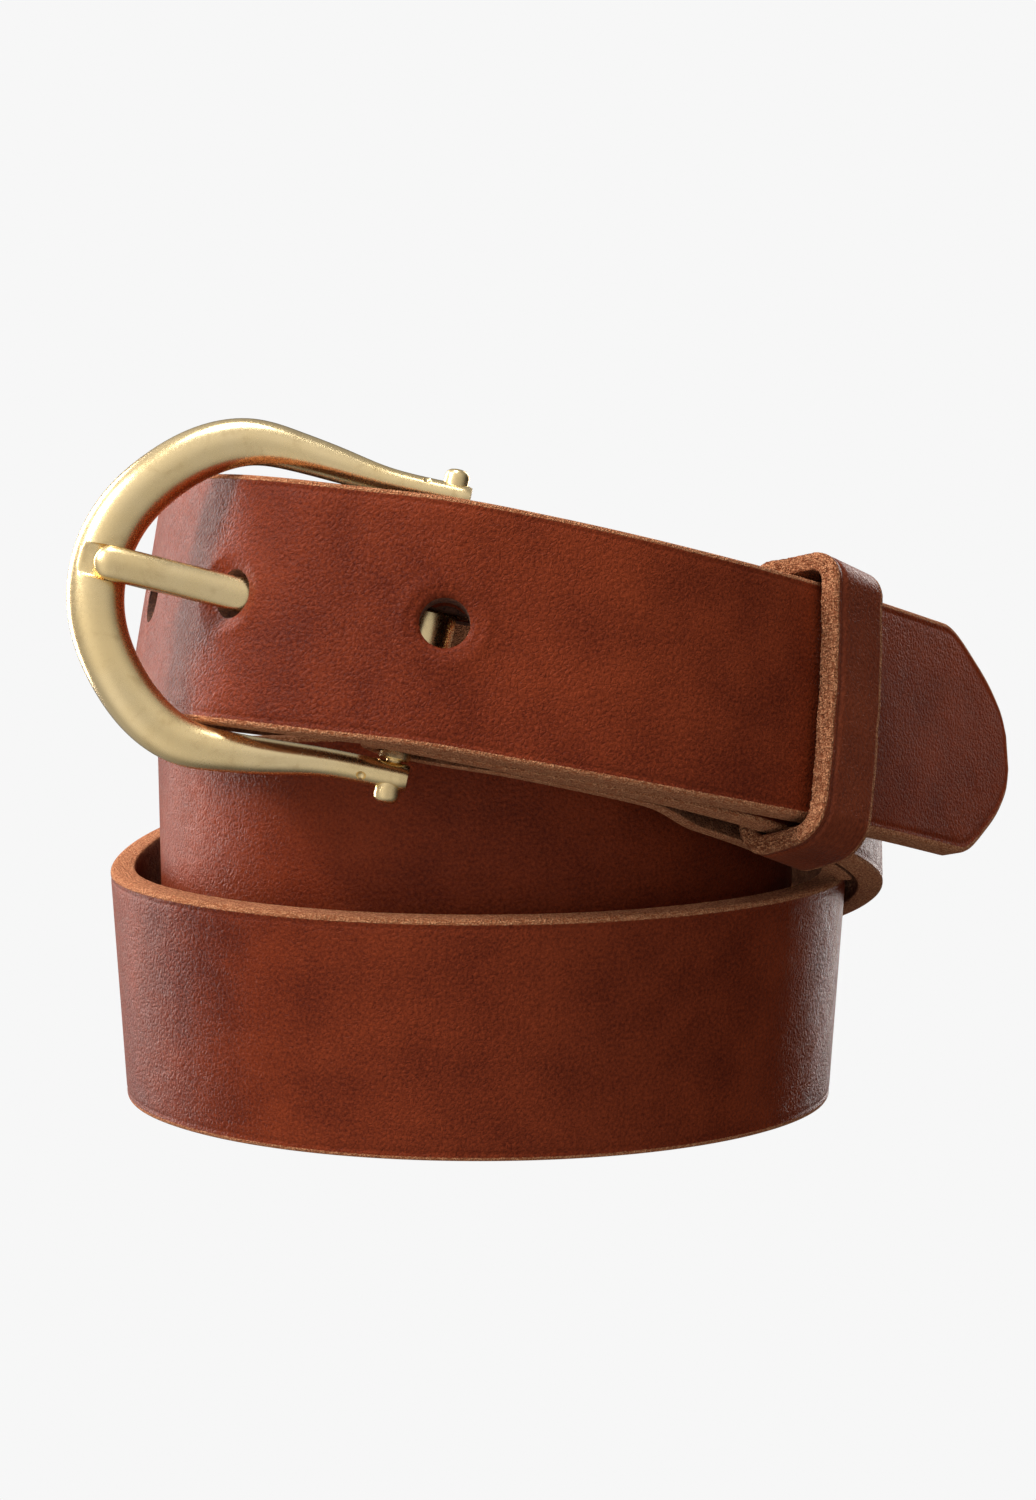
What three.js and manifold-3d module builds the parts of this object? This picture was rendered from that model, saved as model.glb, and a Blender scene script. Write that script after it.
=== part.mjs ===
// A one-ply leather belt, buckled and coiled into three stacked turns that stand on their lower edge.
// Millimetres, +Z up, the buckle and its tail facing -Y. The strap is one piece: it starts as the
// skived end folded round the heel bar, runs three turns down and up again, and comes back over itself
// as the punched tail, through the buckle and the keeper.
import * as THREE from "three";
import { mergeVertices } from "three/addons/utils/BufferGeometryUtils.js";
import Module from "manifold-3d";

const wasm = await Module();
wasm.setup();

// ---- strap -------------------------------------------------------------------------------------
const STRAP_WIDTH = 32;
const STRAP_THICK = 3.5;
const HALF = STRAP_THICK / 2; // grain face above the reference line
const SKIVED = 2.4; // thickness of the fold and of the turned-back end
const GAP = 0.3; // clearance between pieces that touch on the real belt
const HOLE_R = 3.2;
const HOLE_PITCH = 27;
const FIRST_HOLE = 102.5; // tip of the tail to the first hole
const HOLES = 5;
const DRAWN = [-2.0, 2.8]; // how far the tongue has drawn the hole in use, back and towards the tip
const SLOT_WIDTH = 7.2; // opening in the fold for the tongue
const SLOT_REACH = 13;
// Half width of the blunt point at distances from its nose.
const POINT = [
  [0, 2.2], [0.6, 4.3], [1.8, 6.6], [4.2, 9.3], [8, 12.3], [11.5, 14.7], [13.4, 15.6], [15, 16], [20.5, 16],
];
// The coil: angle round the stack from the front, radius, height of the strap's middle, lean in degrees
// (top edge away from the viewer of the outer face). The first station is over the heel bar.
const COIL = [
  [-8, 52.2, 68.9, 15.5], [20, 52.6, 63.6, 15], [50, 53.2, 55.6, 13], [72, 53.9, 48.6, 6],
  [95, 53.2, 41.6, -3], [135, 52.6, 31.4, -8], [180, 52.0, 24.6, -9], [225, 50.6, 19.9, -7],
  [245, 49.8, 17.8, -5.5], [265, 49.2, 16.2, -4], [300, 48.8, 15.9, -4], [340, 48.8, 15.84, -4],
  [380, 48.8, 15.84, -4], [420, 48.3, 15.9, -4], [455, 47.8, 16.1, -4], [495, 47.4, 19.0, -5],
  [540, 46.6, 24.4, -5], [590, 44.6, 29.8, -3], [630, 43.2, 33.6, -1], [675, 42.7, 36.8, 0],
  [720, 42.6, 39.2, 0], [765, 41.9, 42.0, 0], [810, 41.5, 45.8, 0], [855, 41.3, 50.8, 2],
  [900, 41.6, 56.8, 4], [945, 42.4, 62.6, 7], [975, 43.2, 66.0, 9], [1008, 46.2, 68.9, 10],
  [1022, 49.4, 70.5, 11], [1034, 52.8, 71.6, 13], [1046, 56.9, 72.1, 15], [1059, 58.5, 71.5, 16],
  [1072, 57.4, 70.1, 16], [1090, 56.9, 66.9, 16], [1112, 57.2, 61.9, 15], [1134, 57.5, 56.9, 12.8],
];
// The free end past the keeper runs straight: distance along it, drop.
const FREE_END = [[12, 2.7], [26, 6.0], [42, 9.8]];

// ---- buckle ------------------------------------------------------------------------------------
const BAR_R = 2;
const TENON_R = 1;
const BUCKLE_TILT = 5.4; // degrees the arch stands off the strap's plane at the bar
const FRAME_SHIFT = -0.5; // frame's middle against the strap's middle, along the bar
// Half of the horseshoe: distance from the bar, distance from the middle, half width, half depth.
const FRAME = [
  [-2.2, 18.3, 1.75, 2.2], [3, 18.3, 1.75, 2.1], [9, 18.4, 1.75, 2], [15, 18.8, 1.85, 2.1],
  [21, 19.5, 2.3, 2.3], [26.5, 19.7, 2.95, 2.55], [31.5, 17.7, 3.3, 2.85], [36.6, 13.2, 3.45, 3.3],
  [40.4, 7.3, 3.6, 3.4], [41.9, 0, 3.7, 3.4],
];
const TONGUE_WIDTH = 4.4;
const EYE_OUTER = 3.85;
// Tongue: distance from the bar, height over the buckle's plane, thickness.
const TONGUE = [
  [1.5, 2.75, 2.2], [8, 2.0, 2.4], [14, 1.2, 2.4], [19, 0.9, 2.4], [24, 1.2, 2.5], [30, 2.3, 2.8],
  [36, 3.4, 3.0], [39.5, 4.0, 2.9], [42.2, 4.2, 2.6],
];

// ---- keeper and screws -------------------------------------------------------------------------
const KEEPER_AT = 56; // along the fixed strap from the bar
const KEEPER_WIDTH = 11;
const KEEPER_THICK = 2.6;
const SCREWS_AT = [28, 73.5];
const TURNED_END_AT = 81;

const V = (x, y, z) => new THREE.Vector3(x, y, z);
const rad = (degrees) => (degrees * Math.PI) / 180;

// Natural cubic spline through rows of values at rising knots; returns a function of the knot value.
function spline(knots, rows) {
  const n = knots.length;
  const width = rows[0].length;
  const second = rows.map(() => new Array(width).fill(0));
  for (let k = 0; k < width; k++) {
    const c = new Array(n).fill(0);
    const d = new Array(n).fill(0);
    for (let i = 1; i < n - 1; i++) {
      const a = knots[i] - knots[i - 1];
      const b = knots[i + 1] - knots[i];
      const right = 6 * ((rows[i + 1][k] - rows[i][k]) / b - (rows[i][k] - rows[i - 1][k]) / a);
      const m = 2 * (a + b) - a * c[i - 1];
      c[i] = b / m;
      d[i] = (right - a * d[i - 1]) / m;
    }
    for (let i = n - 2; i > 0; i--) second[i][k] = d[i] - c[i] * second[i + 1][k];
  }
  return (x) => {
    let i = 0;
    while (i < n - 2 && knots[i + 1] < x) i++;
    const h = knots[i + 1] - knots[i];
    const a = knots[i + 1] - x;
    const b = x - knots[i];
    return rows[i].map(
      (v, k) =>
        (second[i][k] * a ** 3 + second[i + 1][k] * b ** 3) / (6 * h) +
        (v / h - (second[i][k] * h) / 6) * a +
        (rows[i + 1][k] / h - (second[i + 1][k] * h) / 6) * b,
    );
  };
}

const smooth = (x) => {
  const t = Math.min(1, Math.max(0, x));
  return t * t * (3 - 2 * t);
};

// Points every `step` along a line of {p, lean}; the last one is kept.
function resample(line, step) {
  const at = [0];
  for (let i = 1; i < line.length; i++) at.push(at[i - 1] + line[i].p.distanceTo(line[i - 1].p));
  const total = at[at.length - 1];
  const count = Math.ceil(total / step);
  const out = [];
  let i = 0;
  for (let k = 0; k <= count; k++) {
    const s = (total * k) / count;
    while (i < line.length - 2 && at[i + 1] < s) i++;
    const f = (s - at[i]) / (at[i + 1] - at[i]);
    out.push({
      p: line[i].p.clone().lerp(line[i + 1].p, f),
      lean: line[i].lean * (1 - f) + line[i + 1].lean * f,
      s,
    });
  }
  return out;
}

// Adds the direction of travel t, the width direction w and the outward direction n to each point.
function orient(line) {
  line.forEach((q, i) => {
    const a = line[Math.max(0, i - 1)].p;
    const b = line[Math.min(line.length - 1, i + 1)].p;
    q.t = b.clone().sub(a).normalize();
    const level = q.t.clone().cross(V(0, 0, 1)).normalize();
    const up = level.clone().cross(q.t);
    q.w = up.multiplyScalar(Math.cos(rad(q.lean))).addScaledVector(level, -Math.sin(rad(q.lean)));
    q.n = q.t.clone().cross(q.w).normalize();
  });
  return line;
}

// The strap's reference line from over the heel bar to the nose of the tail, at fine steps.
function coilLine() {
  const at = spline(COIL.map((c) => c[0]), COIL.map((c) => c.slice(1)));
  const first = COIL[0][0];
  const last = COIL[COIL.length - 1][0];
  const line = [];
  for (let a = first; a <= last; a += 1) {
    const [r, z, lean] = at(a);
    line.push({ p: V(r * Math.sin(rad(a)), -r * Math.cos(rad(a)), z), lean });
  }
  const end = line[line.length - 1];
  const way = end.p.clone().sub(line[line.length - 2].p).setZ(0).normalize();
  const guide = line.filter((_, i) => i % 6 === 0);
  if (guide[guide.length - 1] !== end) guide.push(end);
  for (const [far, drop] of FREE_END) {
    guide.push({ p: end.p.clone().addScaledVector(way, far).add(V(0, 0, -drop)), lean: end.lean });
  }
  const knots = [0];
  for (let i = 1; i < guide.length; i++) {
    knots.push(knots[i - 1] + guide[i].p.distanceTo(guide[i - 1].p));
  }
  const through = spline(knots, guide.map((g) => [g.p.x, g.p.y, g.p.z, g.lean]));
  const total = knots[knots.length - 1];
  const steps = Math.round(total / 0.5);
  return Array.from({ length: steps + 1 }, (_, k) => {
    const [x, y, z, lean] = through((total * k) / steps);
    return { p: V(x, y, z), lean };
  });
}

const LINE = orient(resample(coilLine(), 0.5));
const LENGTH = LINE[LINE.length - 1].s;
const atLine = (s) => LINE[Math.min(LINE.length - 1, Math.max(0, Math.round((s / LENGTH) * (LINE.length - 1))))];

// The frame of the heel bar: x runs from the bar away from the arch, y out of the strap, z along the bar.
const START = LINE[0];
const SKIN = HALF - SKIVED; // flesh face of the fold above the reference line
const BAR = START.p.clone().addScaledVector(START.n, SKIN - GAP - BAR_R);
const FOLD_R = -(SKIN - GAP - BAR_R); // reference line's radius about the bar

// How far the grain face of the turned-back end lies under the reference line, s from the bar.
function turnedDepth(s) {
  const bar = 2 * FOLD_R + HALF;
  const flat = HALF + 0.3 + SKIVED;
  const keeper = HALF + 0.85 + KEEPER_THICK + 1.35 + SKIVED;
  const near = bar + (flat - bar) * smooth(s / 15);
  const lift = smooth((s - 33) / 13.5) * (1 - smooth((s - 62.8) / 5));
  return near + (keeper - flat) * lift;
}

// Sections of the whole strap: grain face, flesh face, half width.
function strapSections() {
  const out = [];
  const turned = [];
  for (let s = TURNED_END_AT; s > 0.01; s -= s > 20 ? 3 : 2) {
    const q = atLine(s);
    turned.push({ p: q.p.clone().addScaledVector(q.n, -(turnedDepth(s) - HALF)), w: q.w });
  }
  for (const a of [180, 162, 144, 126, 108, 90, 72, 54, 36, 18]) {
    const side = -Math.sin(rad(a)) * FOLD_R;
    const out2 = Math.cos(rad(a)) * FOLD_R;
    const p = BAR.clone().addScaledVector(START.t, side).addScaledVector(START.n, out2);
    turned.push({ p, w: START.w, fold: true });
  }
  turned.forEach((q, i) => {
    const a = turned[Math.max(0, i - 1)].p;
    const b = i + 1 < turned.length ? turned[i + 1].p : START.p;
    const t = b.clone().sub(a).normalize();
    const n = t.clone().cross(q.w).normalize();
    out.push({ p: q.p, n, w: q.w, flesh: SKIVED - HALF, half: STRAP_WIDTH / 2 });
  });
  const stops = [];
  for (let s = 0; s < LENGTH - 24; s += s < 24 || (s > 800 && s < 925) ? 2.5 : 5) stops.push(s);
  for (const x of [21, 19, 17, 15, 13, 11, 9, 7, 5, 3.6, 2.2, 1.2, 0.7, 0.3, 0]) stops.push(LENGTH - x);
  const point = spline(POINT.map((c) => c[0]), POINT.map((c) => [c[1]]));
  for (const s of stops) {
    const q = atLine(s);
    const thick = SKIVED + (STRAP_THICK - SKIVED) * smooth((s - 8) / 12);
    const tip = LENGTH - s;
    const half = tip < 20.5 ? Math.min(STRAP_WIDTH / 2, point(tip)[0]) : STRAP_WIDTH / 2;
    out.push({ p: q.p, n: q.n, w: q.w, flesh: thick - HALF, half });
  }
  return out;
}

// A closed band through rings of points that all have the same count, with flat ends.
function band(rings) {
  const m = rings[0].length;
  const position = rings.flat().flatMap((p) => [p.x, p.y, p.z]);
  const index = [];
  for (let i = 0; i + 1 < rings.length; i++) {
    for (let j = 0; j < m; j++) {
      const a = i * m + j;
      const b = i * m + ((j + 1) % m);
      index.push(a, b, b + m, a, b + m, a + m);
    }
  }
  const last = (rings.length - 1) * m;
  for (let j = 1; j + 1 < m; j++) {
    index.push(0, j + 1, j);
    index.push(last, last + j, last + j + 1);
  }
  const solid = (triangles) =>
    new wasm.Manifold(
      new wasm.Mesh({
        numProp: 3,
        vertProperties: new Float32Array(position),
        triVerts: new Uint32Array(triangles),
      }),
    );
  const made = solid(index);
  return made.volume() > 0 ? made : solid(index.toReversed());
}

// A three.js geometry as a manifold solid, in the given frame.
function solidOf(geometry, frame) {
  const g = geometry.clone();
  g.deleteAttribute("normal");
  g.deleteAttribute("uv");
  if (frame) g.applyMatrix4(frame);
  const merged = mergeVertices(g, 1e-4);
  // A left-handed frame turns the faces round.
  const index = Array.from(merged.index.array);
  if (frame && frame.determinant() < 0) index.reverse();
  return new wasm.Manifold(
    new wasm.Mesh({
      numProp: 3,
      vertProperties: merged.attributes.position.array,
      triVerts: new Uint32Array(index),
    }),
  );
}

const frameOf = (p, x, y, z) => new THREE.Matrix4().makeBasis(x, y, z).setPosition(p);

// A solid cylinder along the y axis of a frame, from y0 to y1.
function rod(radius, y0, y1, frame, sides = 24) {
  const g = new THREE.CylinderGeometry(radius, radius, y1 - y0, sides);
  return solidOf(g.translate(0, (y0 + y1) / 2, 0), frame);
}

function block(x0, x1, y0, y1, z0, z1, frame) {
  const g = new THREE.BoxGeometry(x1 - x0, y1 - y0, z1 - z0);
  return solidOf(g.translate((x0 + x1) / 2, (y0 + y1) / 2, (z0 + z1) / 2), frame);
}

const moved = (frame, x, y, z) =>
  frame.clone().multiply(new THREE.Matrix4().makeTranslation(x, y, z));
const framesOn = (q) => frameOf(q.p, q.t, q.n, q.w.clone());
const BAR_FRAME = frameOf(BAR, START.t, START.n, START.w);

// Buckle frame: u from the bar to the arch, v out of its plane, w along the bar.
const tilt = rad(BUCKLE_TILT);
const U = START.t.clone().multiplyScalar(-Math.cos(tilt)).addScaledVector(START.n, Math.sin(tilt));
const OUT = START.n.clone().multiplyScalar(Math.cos(tilt)).addScaledVector(START.t, Math.sin(tilt));
const inBuckle = (u, v, w) =>
  BAR.clone().addScaledVector(U, u).addScaledVector(OUT, v).addScaledVector(START.w, w);
const BUCKLE_FRAME = frameOf(BAR, U.clone().negate(), OUT, START.w);

function makeStrap() {
  const rings = strapSections().map(({ p, n, w, flesh, half }) => [
    p.clone().addScaledVector(n, HALF).addScaledVector(w, half),
    p.clone().addScaledVector(n, HALF).addScaledVector(w, -half),
    p.clone().addScaledVector(n, -flesh).addScaledVector(w, -half),
    p.clone().addScaledVector(n, -flesh).addScaledVector(w, half),
  ]);
  let strap = band(rings);
  for (let k = 0; k < HOLES; k++) {
    const q = atLine(LENGTH - FIRST_HOLE - k * HOLE_PITCH);
    const hole = framesOn(q);
    strap = strap.subtract(rod(HOLE_R, -4, 4, hole, 20));
    if (k === 1) {
      // The hole in use is drawn long by the tongue.
      for (const x of DRAWN) {
        strap = strap.subtract(rod(HOLE_R, -4, 4, moved(hole, x, 0, 0), 20));
      }
      strap = strap.subtract(block(...DRAWN, -4, 4, -HOLE_R, HOLE_R, hole));
    }
  }
  const half = SLOT_WIDTH / 2;
  strap = strap.subtract(block(-7, SLOT_REACH, -7, 5.0, -half, half, BAR_FRAME));
  strap = strap.subtract(rod(half, -7, 5.0, moved(BAR_FRAME, SLOT_REACH, 0, 0), 20));
  for (const s of SCREWS_AT) {
    const at = framesOn(atLine(s));
    strap = strap.subtract(rod(2.4 + GAP, -7, 1.2, at));
    strap = strap.subtract(rod(4 + GAP, HALF - 1.5, HALF + 0.4, at));
  }
  // The lowest edge is worn flat where the coil stands on it.
  strap = strap.subtract(block(-100, 100, -100, 100, -5, 0, new THREE.Matrix4()));
  return strap;
}

function keeperFrame() {
  return framesOn(atLine(KEEPER_AT));
}

// Where the tail crosses the keeper's plane, in the keeper's frame.
function tailInKeeper() {
  const q = atLine(KEEPER_AT);
  let best = null;
  for (const r of LINE) {
    if (r.s < LENGTH - 80) continue;
    const along = Math.abs(r.p.clone().sub(q.p).dot(q.t));
    if (!best || along < best.along) best = { along, r };
  }
  const d = best.r.p.clone().sub(q.p);
  return { n: d.dot(q.n), w: d.dot(q.w) };
}

// The keeper is a strip bent to a loop round the strap and the tail; its ends meet behind.
function keeperPath() {
  const tail = tailInKeeper();
  const half = KEEPER_THICK / 2;
  return {
    back: -(HALF + 0.85 + half),
    front: tail.n + HALF + 0.9 + half,
    low: -STRAP_WIDTH / 2 - 0.5 - half + Math.min(0, tail.w),
    high: STRAP_WIDTH / 2 + 0.9 + half + Math.max(0, tail.w),
  };
}

function makeKeeper() {
  const { back, front, low, high } = keeperPath();
  const mid = (low + high) / 2;
  const corner = 2.2;
  const line = [[back, mid + 0.2]];
  const corners = [[back, high, 180], [front, high, 90], [front, low, 0], [back, low, -90]];
  for (const [n, w, start] of corners) {
    const cn = n + (n === back ? corner : -corner);
    const cw = w + (w === high ? -corner : corner);
    for (let k = 0; k <= 4; k++) {
      const a = rad(start - k * 22.5);
      line.push([cn + corner * Math.cos(a), cw + corner * Math.sin(a)]);
    }
  }
  line.push([back, mid - 0.2]);
  const place = keeperFrame();
  const rings = line.map(([n, w], i) => {
    const a = line[Math.max(0, i - 1)];
    const b = line[Math.min(line.length - 1, i + 1)];
    const dn = b[0] - a[0];
    const dw = b[1] - a[1];
    const size = Math.hypot(dn, dw);
    const ring = [];
    for (const [side, along] of [[-1, -1], [1, -1], [1, 1], [-1, 1]]) {
      const off = (side * KEEPER_THICK) / 2;
      const x = (along * KEEPER_WIDTH) / 2;
      ring.push(V(x, n - (dw / size) * off, w + (dn / size) * off).applyMatrix4(place));
    }
    return ring;
  });
  let loop = band(rings);
  for (const x of [-2.6, 2.6]) {
    for (const w of [-2.6, 2.6]) {
      loop = loop.subtract(rod(0.9, back - 3, back + 0.9, stapleFrame(x, mid + w), 10));
    }
  }
  return loop;
}

function stapleFrame(x, w) {
  return moved(keeperFrame(), x, 0, w);
}

// A staple across the joint of the keeper's ends: a flat crown and two legs.
function makeStaple(x) {
  const { back, low, high } = keeperPath();
  const mid = (low + high) / 2;
  const outside = back - KEEPER_THICK / 2 - 0.3;
  const place = stapleFrame(x, mid);
  let staple = block(-0.4, 0.4, outside - 0.6, outside, -3, 3, place);
  for (const w of [-2.6, 2.6]) {
    staple = staple.add(block(-0.4, 0.4, outside - 0.3, back + 0.6, w - 0.4, w + 0.4, place));
  }
  return staple;
}

// The horseshoe: both halves of FRAME swept as one bar with an oval section.
function makeFrame() {
  const side = [...FRAME].reverse().map(([u, w, a, b]) => [u, -w, a, b]).slice(1);
  const whole = [...FRAME, ...side];
  const knots = [0];
  for (let i = 1; i < whole.length; i++) {
    const [u, w] = whole[i];
    knots.push(knots[i - 1] + Math.hypot(u - whole[i - 1][0], w - whole[i - 1][1]));
  }
  const at = spline(knots, whole);
  const total = knots[knots.length - 1];
  const count = 46;
  const rows = Array.from({ length: count + 1 }, (_, k) => at((total * k) / count));
  const rings = rows.map(([u, w, a, b], i) => {
    const p = rows[Math.max(0, i - 1)];
    const q = rows[Math.min(count, i + 1)];
    const du = q[0] - p[0];
    const dw = q[1] - p[1];
    const size = Math.hypot(du, dw);
    const ring = [];
    for (let k = 0; k < 14; k++) {
      const c = Math.cos((2 * Math.PI * k) / 14) * a;
      const v = Math.sin((2 * Math.PI * k) / 14) * b;
      ring.push(inBuckle(u + (dw / size) * c, v, w - (du / size) * c + FRAME_SHIFT));
    }
    return ring;
  });
  let frame = band(rings);
  const axis = frameOf(BAR, U, START.w, OUT.clone().negate());
  frame = frame.subtract(rod(TENON_R + GAP, -30, 30, axis, 16));
  // A rest for the tongue across the front of the arch.
  const seat = tongueSolid(0.35, 30);
  return frame.subtract(seat);
}

function makeBar() {
  const half = 18.3 - 1.75 - GAP - 0.1;
  const arm = 18.3 + 1.75 + GAP;
  const profile = [
    [0, -arm - 2.1], [1.1, -arm - 1.9], [1.7, -arm - 1.2], [1.8, -arm - 0.5], [1.8, -arm],
    [TENON_R, -arm], [TENON_R, -half], [BAR_R, -half], [BAR_R, half], [TENON_R, half],
    [TENON_R, arm], [1.8, arm], [1.8, arm + 0.5], [1.7, arm + 1.2], [1.1, arm + 1.9], [0, arm + 2.1],
  ].map(([x, y]) => new THREE.Vector2(x, y));
  const axis = frameOf(
    BAR.clone().addScaledVector(START.w, FRAME_SHIFT), U, START.w, OUT.clone().negate());
  return solidOf(new THREE.LatheGeometry(profile, 20), axis);
}

// The tongue's shank, grown by `grow` on every side, from the station at `from`.
function tongueSolid(grow, from = 0) {
  const at = spline(TONGUE.map((c) => c[0]), TONGUE.map((c) => [c[1], c[2]]));
  const first = Math.max(from, TONGUE[0][0]);
  const last = TONGUE[TONGUE.length - 1][0];
  const count = 22;
  const rings = [];
  for (let k = 0; k <= count; k++) {
    const u = first + ((last + (from ? 2 : 0) - first) * k) / count;
    const [v, thick] = at(Math.min(u, last));
    const near = (last - u) / 2.2;
    const round = from || near > 1 ? 1 : Math.sqrt(Math.max(0.12, 1 - (1 - near) ** 2));
    const a = (TONGUE_WIDTH / 2) * round + grow;
    const b = (thick / 2) * round + grow;
    const ring = [];
    for (const [x, y] of [
      [-0.62, -1], [0.62, -1], [0.95, -0.7], [1, -0.1], [0.86, 0.55], [0.5, 0.92],
      [0, 1], [-0.5, 0.92], [-0.86, 0.55], [-1, -0.1], [-0.95, -0.7],
    ]) {
      ring.push(inBuckle(u, v + y * b, x * a + FRAME_SHIFT));
    }
    rings.push(ring);
  }
  return band(rings);
}

function makeTongue() {
  const axis = frameOf(BAR.clone().addScaledVector(START.w, FRAME_SHIFT), U, START.w, OUT.clone().negate());
  const eye = rod(EYE_OUTER, -2.8, 2.8, axis, 28);
  return eye.add(tongueSolid(0)).subtract(rod(BAR_R + 0.35, -4, 4, axis, 28));
}

// Two-part screws hold the turned-back end: a post from behind and a screw sunk under the tail.
function screwDepth(s) {
  return -turnedDepth(s) - 0.75;
}

function makePost(s) {
  const at = framesOn(atLine(s));
  const head = screwDepth(s);
  let post = rod(4.5, head - 1.1, head, at);
  post = post.add(rod(2.4, head - 0.5, -0.3, at, 20));
  return post.subtract(rod(1.4 + GAP, head - 0.4, 2, at, 16));
}

function makeScrew(s) {
  const at = framesOn(atLine(s));
  const top = HALF - 0.1;
  let screw = rod(4, top - 1, top, at);
  screw = screw.add(rod(1.4, screwDepth(s) + 0.6, top - 0.5, at, 16));
  return screw.subtract(block(-3.2, 3.2, top - 0.45, top + 1, -0.5, 0.5, at));
}

const leather = new THREE.MeshStandardMaterial({ color: 0x6b2c1a, roughness: 0.5 });
const dark = new THREE.MeshStandardMaterial({ color: 0x5a2416, roughness: 0.5 });
const brass = new THREE.MeshStandardMaterial({ color: 0xb59a5c, roughness: 0.35, metalness: 1 });
const steel = new THREE.MeshStandardMaterial({ color: 0x9a9a98, roughness: 0.4, metalness: 1 });

const root = new THREE.Group();
root.name = "leather_belt";

function addNode(name, solid, material) {
  const m = solid.getMesh();
  const g = new THREE.BufferGeometry();
  const n = m.numProp;
  const v = new Float32Array(m.numVert * 3);
  for (let i = 0; i < m.numVert; i++) v.set(m.vertProperties.subarray(i * n, i * n + 3), i * 3);
  g.setAttribute("position", new THREE.BufferAttribute(v, 3));
  g.setIndex(new THREE.BufferAttribute(new Uint32Array(m.triVerts), 1));
  g.computeVertexNormals();
  const mesh = new THREE.Mesh(g, material.clone());
  mesh.name = name;
  root.add(mesh);
}

addNode("strap", makeStrap(), leather);
addNode("keeper_loop", makeKeeper(), dark);
addNode("keeper_staple_1", makeStaple(-2.6), steel);
addNode("keeper_staple_2", makeStaple(2.6), steel);
addNode("buckle_frame", makeFrame(), brass);
addNode("heel_bar", makeBar(), brass);
addNode("tongue", makeTongue(), brass);
SCREWS_AT.forEach((s, i) => {
  addNode("screw_post_" + (i + 1), makePost(s), brass);
  addNode("screw_" + (i + 1), makeScrew(s), brass);
});

// The part's origin is the middle of its footprint, on the surface it stands on.
const box = new THREE.Box3().setFromObject(root);
const shift = V(-(box.min.x + box.max.x) / 2, -(box.min.y + box.max.y) / 2, -box.min.z);
root.children.forEach((m) => m.geometry.translate(shift.x, shift.y, shift.z));

export default root;
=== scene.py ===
"""A one-ply leather belt, buckled and coiled into three stacked turns on a pale studio floor."""
import math

import bmesh
import bpy
import numpy as np
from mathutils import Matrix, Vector


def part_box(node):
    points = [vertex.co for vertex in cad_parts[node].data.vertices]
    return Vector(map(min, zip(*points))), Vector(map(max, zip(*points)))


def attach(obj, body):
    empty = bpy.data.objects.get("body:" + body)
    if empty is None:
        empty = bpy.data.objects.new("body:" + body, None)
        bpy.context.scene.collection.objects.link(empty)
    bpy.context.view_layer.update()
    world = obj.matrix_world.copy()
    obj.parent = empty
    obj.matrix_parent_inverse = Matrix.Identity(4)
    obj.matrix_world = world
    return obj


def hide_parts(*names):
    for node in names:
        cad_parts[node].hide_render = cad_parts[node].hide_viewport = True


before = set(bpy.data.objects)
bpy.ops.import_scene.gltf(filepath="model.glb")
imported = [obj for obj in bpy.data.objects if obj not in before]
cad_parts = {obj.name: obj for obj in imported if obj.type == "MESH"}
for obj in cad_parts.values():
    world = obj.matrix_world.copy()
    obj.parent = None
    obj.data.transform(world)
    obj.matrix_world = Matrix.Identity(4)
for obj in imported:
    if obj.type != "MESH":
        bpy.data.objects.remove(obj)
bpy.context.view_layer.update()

MM = 0.001
# ---- the belt's own sizes, in millimetres, as in the CAD model --------------------------------------
STRAP_WIDTH = 32.0
STRAP_THICK = 3.5
HALF = STRAP_THICK / 2
SKIVED = 2.4
GAP = 0.3
HOLE_R = 3.2
HOLE_PITCH = 27.0
FIRST_HOLE = 102.5
HOLES = 5
USED_HOLE = 1  # counted from the tip
USED_LIFT = 0.6  # the tongue has drawn the hole in use towards the strap's top edge
USED_LEAN = (3.9, -3.5)  # and has slanted it: shifts along the strap, 4 mm in and 3 mm out
USED_RIM = 2.1  # shift of its rim on the grain
SLOT_HALF = 3.05
SLOT_REACH = 13.0
# Tail's point: distance from the tip, half width.
POINT = [
    (0, 2.2), (0.6, 4.3), (1.8, 6.6), (4.2, 9.3), (8, 12.3), (11.5, 14.7), (13.4, 15.6), (15, 16),
    (20.5, 16),
]
# Middle of the strap: turn in degrees from the front, radius, height, lean in degrees.
COIL = [
    (-8, 52.2, 68.9, 15.5), (20, 52.6, 63.6, 15), (50, 53.2, 55.6, 13), (72, 53.9, 48.6, 6),
    (95, 53.2, 41.6, -3), (135, 52.6, 31.4, -8), (180, 52.0, 24.6, -9), (225, 50.6, 19.9, -7),
    (245, 49.8, 17.8, -5.5), (265, 49.2, 16.2, -4), (300, 48.8, 15.9, -4), (340, 48.8, 15.84, -4),
    (380, 48.8, 15.84, -4), (420, 48.3, 15.9, -4), (455, 47.8, 16.1, -4), (495, 47.4, 19.0, -5),
    (540, 46.6, 24.4, -5), (590, 44.6, 29.8, -3), (630, 43.2, 33.6, -1), (675, 42.7, 36.8, 0),
    (720, 42.6, 39.2, 0), (765, 41.9, 42.0, 0), (810, 41.5, 45.8, 0), (855, 41.3, 50.8, 2),
    (900, 41.6, 56.8, 4), (945, 42.4, 62.6, 7), (975, 43.2, 66.0, 9), (1008, 46.2, 68.9, 10),
    (1022, 49.4, 70.5, 11), (1034, 52.8, 71.6, 13), (1046, 56.9, 72.1, 15), (1059, 58.5, 71.5, 16),
    (1072, 57.4, 70.1, 16), (1090, 56.9, 66.9, 16), (1112, 57.2, 61.9, 15), (1134, 57.5, 56.9, 12.8),
]
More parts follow.
